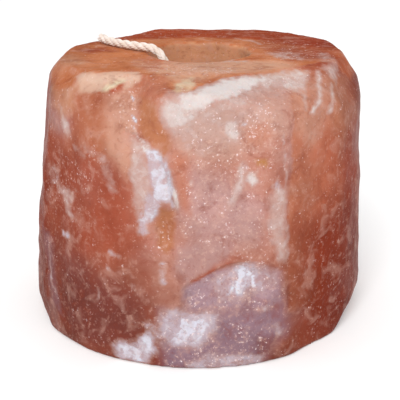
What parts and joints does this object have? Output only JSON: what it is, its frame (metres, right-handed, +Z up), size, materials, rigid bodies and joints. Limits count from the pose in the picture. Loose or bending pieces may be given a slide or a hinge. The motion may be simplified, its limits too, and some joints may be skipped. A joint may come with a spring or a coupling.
{
  "type": "rock salt candle holder",
  "caption": "Rough-hewn drum of pink rock salt with a flat top, a round well for a small candle, and a short piece of twisted cotton wick lying out of the well.",
  "frame": {"origin": "middle of the block's box, on the surface that the block stands on", "axes": "+Z up out of the well; +X to the right seen from the front, along the block's width; the front, with the two breaks, looks to -Y"},
  "size_m": [0.1444, 0.1372, 0.1147],
  "materials": {
    "salt": "translucent pink-orange rock salt, frosted white where it is broken, glinting, damp-worn edges",
    "cotton": "off-white three-strand twisted cotton, matt and slightly fuzzy"
  },
  "bodies": {
    "root": {"salt_block": "salt", "wick": "cotton"}
  },
  "joints": []
}
